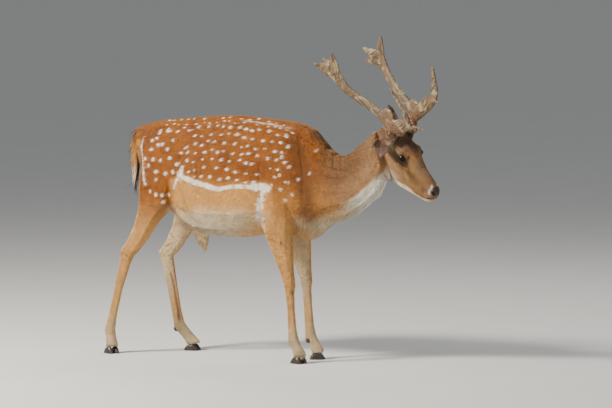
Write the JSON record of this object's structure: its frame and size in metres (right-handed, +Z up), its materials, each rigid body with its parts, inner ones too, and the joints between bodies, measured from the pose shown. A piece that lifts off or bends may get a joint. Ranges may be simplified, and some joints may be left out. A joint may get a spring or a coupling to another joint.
{
  "type": "fallow deer buck figure",
  "caption": "Standing spotted deer buck with palmate antlers and head turned and lowered slightly, a life-size museum model.",
  "frame": {"origin": "on the ground, under the middle of the outline seen from above", "axes": "+X forward along the body, +Y to the animal's left, +Z up"},
  "size_m": [1.3506, 0.3692, 1.1759],
  "materials": {
    "red_coat": "short glossy summer coat, rusty brown with white spots",
    "grey_coat": "short coat, greyish brown shading to cream under the throat",
    "leg_coat": "very short coat, tan paling toward the feet",
    "pale_coat": "short cream coat",
    "dark_coat": "long dark tail hair with pale tips",
    "antler": "hard grooved bone, matt, polished pale at the tips",
    "hoof": "dark horn, low gloss",
    "eye": "dark wet eye, high gloss"
  },
  "bodies": {
    "root": {"tail": "dark_coat", "claw_outer_fore_right": "hoof", "dewclaw_outer_fore_right": "hoof", "claw_inner_fore_right": "hoof", "dewclaw_inner_fore_right": "hoof", "forearm_fore_right": "leg_coat", "cannon_fore_right": "leg_coat", "pastern_fore_right": "leg_coat", "claw_outer_fore_left": "hoof", "dewclaw_outer_fore_left": "hoof", "claw_inner_fore_left": "hoof", "dewclaw_inner_fore_left": "hoof", "forearm_fore_left": "leg_coat", "cannon_fore_left": "leg_coat", "pastern_fore_left": "leg_coat", "claw_outer_hind_right": "hoof", "dewclaw_outer_hind_right": "hoof", "claw_inner_hind_right": "hoof", "dewclaw_inner_hind_right": "hoof", "thigh_hind_right": "leg_coat", "cannon_hind_right": "leg_coat", "pastern_hind_right": "leg_coat", "claw_outer_hind_left": "hoof", "dewclaw_outer_hind_left": "hoof", "claw_inner_hind_left": "hoof", "dewclaw_inner_hind_left": "hoof", "thigh_hind_left": "leg_coat", "cannon_hind_left": "leg_coat", "pastern_hind_left": "leg_coat", "eye_right": "eye", "ear_right": "grey_coat", "antler_beam_right": "antler", "antler_brow_tine_right": "antler", "antler_palm_right": "antler", "eye_left": "eye", "ear_left": "grey_coat", "antler_beam_left": "antler", "antler_brow_tine_left": "antler", "antler_palm_left": "antler", "trunk": "red_coat", "neck": "grey_coat", "head": "grey_coat", "lower_jaw": "pale_coat"}
  },
  "joints": []
}
